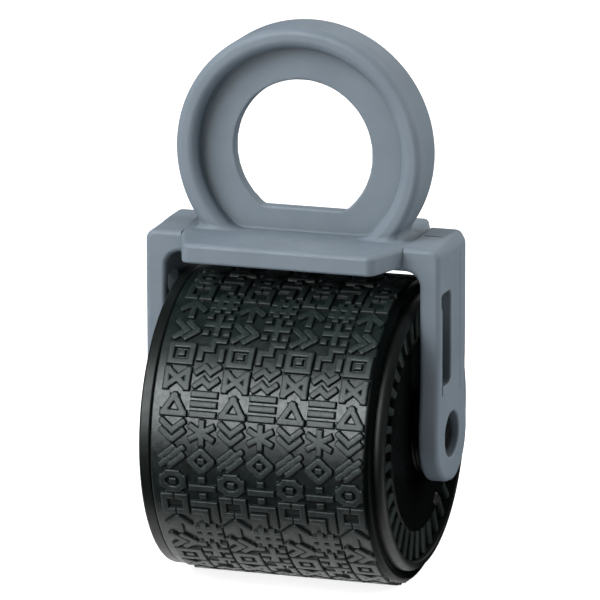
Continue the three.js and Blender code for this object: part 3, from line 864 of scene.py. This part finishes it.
def spool_plastic():
    return plain("spool_plastic", dark=(30, 32, 34), light=(44, 46, 48),
                 colour=dict(scale=200.0, detail=4.0, over=(0.3, 0.7)),
                 roughness=dict(scale=800.0, detail=5.0, over=(0.3, 0.7), to=(0.38, 0.55)),
                 grain=3000.0, distance=0.00001, strength=0.5)


def plug_plastic():
    return plain("plug_plastic", dark=(30, 29, 31), light=(44, 42, 44),
                 colour=dict(scale=900.0, detail=4.0, over=(0.35, 0.65)),
                 roughness=dict(scale=2200.0, detail=4.0, over=(0.3, 0.7), to=(0.25, 0.42)),
                 grain=4200.0, distance=0.000008, strength=0.5)


# --------------------------------------------------------------------------
# pieces
# --------------------------------------------------------------------------

SIDES = ((1.0, "right"), (-1.0, "left"))


def place(ob, material, body, node):
    ob.data.materials.append(material)
    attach(ob, body)
    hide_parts(node)


def build_drum():
    # finer steps at the rounded ends, the flange and the slots
    x_axis = axis((-19.75, -17.05, 0.15), (-17.05, -11.25, 0.72), (-11.25, -1.55, 0.35),
                  (-1.55, 1.55, 0.6), (1.55, 11.25, 0.35), (11.25, 18.3, 0.75),
                  (18.3, 19.75, 0.145))
    return turned("drum_tube_moulding", drum, x_axis, axis((19.95, 23.6, 0.166)),
                  segments=384, arc_r=DRUM_ARC_R)


def build_cap(side, word):
    return turned("end_cap_moulding_" + word, cap_with_plug_hole if side > 0 else cap,
                  axis((13.75, 20.45, 0.29)), axis((3.85, 20.2, 0.3)),
                  segments=360, arc_r=CAP_ARC_R, side=side)


SLEEVE_SEGMENTS = 536
# (x, radius) of the rings that line the sleeve: a chamfer at each end of its bore
SLEEVE_BORE = [(SLEEVE_X[0] + 0.25, 21.7), (SLEEVE_X[0], 21.95),
               (SLEEVE_X[1], 21.95), (SLEEVE_X[1] - 0.25, 21.7)]


def build_sleeve():
    """Relief outside, closed with two end faces and a bore."""
    verts, quads, close, normals, cell = turned_contour(
        sleeve, axis((-17.29, 18.13, 0.285)), axis((22.5, 24.14, 0.234)),
        SLEEVE_SEGMENTS, SLEEVE_R)
    # the relief is open along its innermost layer of cells, with one rim at each end
    inner = np.nonzero(cell[:, 1] == 0)[0]
    rims = []
    for sign in (-1, 1):
        rim = inner[verts[inner, 0] * sign > 0]
        rims.append(rim[np.argsort(cell[rim, 2])])
    angle = verts[rims[0], 2] / SLEEVE_R
    parts, bore = [points_round_axis(verts, SLEEVE_R)], []
    for k, (x, r) in enumerate(SLEEVE_BORE):
        parts.append(np.stack([np.full(SLEEVE_SEGMENTS, x), r * np.cos(angle),
                               AXIS_Z + r * np.sin(angle)], 1))
        bore.append(len(verts) + k * SLEEVE_SEGMENTS + np.arange(SLEEVE_SEGMENTS))
    loop = [rims[0], bore[1], bore[0], bore[3], bore[2], rims[1]]
    lining = np.concatenate([np.stack([b, np.roll(b, -1), np.roll(a, -1), a], 1)
                             for a, b in zip(loop[:-1], loop[1:])])
    points = np.concatenate(parts)
    corner = points[lining]
    flat = unit(np.cross(corner[:, 1] - corner[:, 0], corner[:, 2] - corner[:, 0]))
    normals = normals_round_axis(normals, close, SLEEVE_R)
    return quad_object("stamp_sleeve_relief", points, np.concatenate([quads, lining]),
                       np.concatenate([normals, np.repeat(flat, 4, 0)]))


def build_axle():
    # (x, radius) of the right half: domed end with a small centre mark, then a step
    half = [(23.12, 0.0), (23.12, 0.45), (23.3, 0.75), (23.28, 1.3), (23.2, 1.9), (23.02, 2.45),
            (22.72, 2.9), (22.3, 3.2), (20.2, 3.2), (20.2, 3.9), (20.1, 4.0)]
    return lathe("axle_turned", [(-x, r) for x, r in half] + half[::-1], segments=96)


def build_spool():
    # (x, radius): tube with a shallow raised band at each end
    profile = [(-13.6, 11.4), (13.6, 11.4), (13.6, 12.9), (9.2, 12.9),
               (9.0, 12.75), (-9.0, 12.75), (-9.2, 12.9), (-13.6, 12.9)]
    return lathe("felt_spool_tube", soften(profile, radius=0.2, steps=3), segments=144)


def build_felt():
    """Roll with soft edges and a slightly uneven outside."""
    rnd = random.Random(5)
    # depth, waves per turn, phase, twist per mm along the axis
    waves = [(rnd.uniform(-0.05, 0.0), rnd.randrange(5, 40), rnd.uniform(0, 6.28),
              rnd.uniform(0.1, 0.5)) for _ in range(10)]

    def uneven(x, radius, angle):
        if radius < 15:        # the bore stays round
            return 0.0
        return sum(0.5 * depth * (1 + math.sin(count * angle + phase + x * twist))
                   for depth, count, phase, twist in waves)

    outside = [(x, 19.88) for x in np.linspace(12.9, -12.9, 40)]
    profile = [(-13.5, 13.12), (13.5, 13.12), (13.58, 13.4), (13.58, 19.2), (13.4, 19.6),
               *outside, (-13.4, 19.6), (-13.58, 19.2), (-13.58, 13.4)]
    return lathe("ink_felt_roll", profile, 200, uneven)


SEAL_X, SEAL_R, SEAL_WIRE_R, SEAL_LINE = 15.1, 19.45, 0.585, 0.012


def build_seal(side, word):
    """Round-section ring with a fine raised line on each flank."""
    profile = []
    for i in range(24):
        angle = 2 * math.pi * i / 24
        wire = SEAL_WIRE_R + (SEAL_LINE if i in (6, 18) else 0.0)
        profile.append((side * SEAL_X + wire * math.sin(angle),
                        SEAL_R + wire * math.cos(angle)))
    return lathe("seal_ring_moulding_" + word, profile, segments=180)


def build_plug():
    # (x, radius): small domed head with a dimple
    profile = [(14.22, 0.0), (14.22, 0.8), (14.4, 1.05), (14.6, 1.1), (19.1, 1.1),
               (19.22, 1.02), (19.34, 0.8), (19.39, 0.5), (19.3, 0.3), (19.26, 0.0)]
    ob = lathe("refill_plug_moulding", profile, segments=48)
    ob.data.transform(Matrix.Translation((0, PLUG_Y * MM, PLUG_Z * MM)))
    return ob


GREY, BLACK, CAP = grey_plastic(), black_plastic(), cap_plastic()

place(moulded("yoke_moulding", yoke, [(-24.1, 24.1), (-7.75, 7.75), (16.2, 54.9)], step=0.27),
      GREY, "frame", "yoke_frame")
place(moulded("ring_handle_moulding", ring,
              [(-20.15, 20.15), (-14.1, 14.1), (51.05, 87.35)], step=0.31),
      GREY, "frame", "ring_handle")
place(build_drum(), BLACK, "roller", "drum_tube")
for side, word in SIDES:
    place(build_cap(side, word), CAP, "roller", "end_cap_" + word)
place(build_sleeve(), stamp_rubber(), "roller", "stamp_sleeve")
place(build_axle(), BLACK, "roller", "axle")
place(build_spool(), spool_plastic(), "roller", "felt_spool")
place(build_felt(), felt(), "roller", "ink_felt")
SEAL = seal_rubber()
for side, word in SIDES:
    place(build_seal(side, word), SEAL, "roller", "seal_ring_" + word)
place(build_plug(), plug_plastic(), "roller", "refill_plug")

# CAD nodes stay in the file unseen, in one of the main finishes
for node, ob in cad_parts.items():
    if node in ("yoke_frame", "ring_handle"):
        material = GREY
    elif node.startswith("seal"):
        material = SEAL
    else:
        material = BLACK
    if not len(ob.material_slots):
        ob.data.materials.append(material)
    else:
        for slot in ob.material_slots:
            slot.material = material

# --------------------------------------------------------------------------
# floor, light, camera: metres
# --------------------------------------------------------------------------

FLOOR_HALF, FLOOR_Z = 3.0, -0.00005


def floor_material():
    """Bright to the camera, grey to other light; in reflections only a strip glows."""
    material = bpy.data.materials.new("pale_floor")
    g = Graph(material, "ShaderNodeOutputMaterial")
    rays = g.add("ShaderNodeLightPath").outputs
    emission = g.add("ShaderNodeEmission", Strength=0.86)
    diffuse = g.add("ShaderNodeBsdfDiffuse", Color=(0.5, 0.5, 0.5, 1))
    seen = g.add("ShaderNodeAddShader")
    g.fill(seen.inputs[0], emission.outputs[0])
    g.fill(seen.inputs[1], diffuse.outputs[0])
    bounce = g.add("ShaderNodeBsdfDiffuse", Color=(0.42, 0.43, 0.44, 1))
    # the strip lies just in front of the roller axis
    place_on_floor = g.add("ShaderNodeNewGeometry").outputs["Position"]
    y = g.add("ShaderNodeSeparateXYZ", Vector=place_on_floor).outputs[1]
    strip = g.band(y, up=(-0.031, -0.022), down=(-0.006, 0.0), peak=1.3)
    glow = g.add("ShaderNodeEmission", Strength=strip)
    other = g.mix_shaders(rays["Is Glossy Ray"], bounce.outputs[0], glow.outputs[0])
    g.end(g.mix_shaders(rays["Is Camera Ray"], other, seen.outputs[0]))
    return material


def build_floor():
    mesh = bpy.data.meshes.new("floor")
    corners = [(x * FLOOR_HALF, y * FLOOR_HALF, FLOOR_Z) for x, y in SQUARE]
    mesh.from_pydata(corners, [], [(0, 1, 2, 3)])
    floor = add_object("floor", mesh)
    mesh.materials.append(floor_material())


def build_world():
    """White to the camera, a soft fill on matt surfaces and nearly dark in reflections."""
    scene.world = bpy.data.worlds.new("studio")
    g = Graph(scene.world, "ShaderNodeOutputWorld")
    rays = g.add("ShaderNodeLightPath").outputs
    camera, fill, gloss = (
        g.add("ShaderNodeBackground", Color=colour, Strength=strength).outputs[0]
        for colour, strength in (((1, 1, 1, 1), 1.0), ((0.98, 0.99, 1.0, 1), 0.3),
                                 ((0.8, 1.0, 0.98, 1), 0.05)))
    other = g.mix_shaders(rays["Is Glossy Ray"], fill, gloss)
    g.end(g.mix_shaders(rays["Is Camera Ray"], other, camera))


def softbox(name, azimuth, elevation, distance, size, power, colour=(1, 1, 1),
            matt=True, gloss=True):
    """Area light aimed at the middle of the object. Azimuth, in degrees, is measured
    from the front (-Y) towards +X; matt and gloss say which surfaces it lights."""
    a, e = math.radians(azimuth), math.radians(elevation)
    direction = Vector((math.sin(a) * math.cos(e), -math.cos(a) * math.cos(e), math.sin(e)))
    lamp = bpy.data.lights.new(name, "AREA")
    lamp.shape = "RECTANGLE"
    lamp.size, lamp.size_y = size
    lamp.energy = power
    lamp.color = colour
    ob = add_object(name, lamp)
    ob.location = Vector((0, 0, 0.04)) + direction * distance
    ob.rotation_euler = (-direction).to_track_quat("-Z", "Y").to_euler()
    ob.visible_camera = False
    ob.visible_diffuse = matt
    ob.visible_glossy = gloss


def build_camera():
    azimuth, elevation, roll = (math.radians(a) for a in (18.56, 14.92, -0.15))
    distance = 1.1337                          # from the roller axis
    aim_right, aim_up = -0.000815, 0.01887     # where it aims, from the roller axis
    right = Vector((math.cos(azimuth), math.sin(azimuth), 0))
    back = Vector((math.sin(azimuth) * math.cos(elevation),
                   -math.cos(azimuth) * math.cos(elevation), math.sin(elevation)))
    up = back.cross(right)
    origin = Vector((0, 0, AXIS_Z * MM))
    eye = origin + back * distance
    aim = origin + right * aim_right + up * aim_up
    cam_z = -(aim - eye).normalized()
    level_x = up.cross(cam_z).normalized()
    level_y = cam_z.cross(level_x).normalized()
    cam_x = level_x * math.cos(roll) + level_y * math.sin(roll)
    cam_y = level_y * math.cos(roll) - level_x * math.sin(roll)
    data = bpy.data.cameras.new("camera")
    data.sensor_width = 36.0
    data.lens = 438.9
    data.clip_start = 0.05
    data.clip_end = 20.0
    camera = add_object("camera", data)
    pose = Matrix((cam_x, cam_y, cam_z)).transposed().to_4x4()
    pose.translation = eye
    camera.matrix_world = pose
    scene.camera = camera


build_floor()
build_world()
softbox("key", azimuth=-43, elevation=36, distance=0.55, size=(0.34, 0.36), power=3.8,
        gloss=False)
softbox("key_sheen", azimuth=-19, elevation=20.5, distance=0.55, size=(0.34, 0.4), power=3.35,
        colour=(0.95, 1, 1), matt=False)
softbox("right", azimuth=112, elevation=24, distance=0.6, size=(0.4, 0.4), power=2.6,
        colour=(1, 0.985, 0.955), gloss=False)
softbox("right_sheen", azimuth=112, elevation=24, distance=0.6, size=(0.4, 0.4), power=1.0,
        matt=False)
softbox("top", azimuth=-10, elevation=80, distance=0.6, size=(0.4, 0.3), power=0.5,
        gloss=False)
softbox("back", azimuth=175, elevation=35, distance=0.7, size=(0.5, 0.4), power=0.8)
build_camera()

scene.view_settings.view_transform = "Standard"
scene.view_settings.look = "None"
scene.view_settings.exposure = 0.0
scene.view_settings.gamma = 1.0
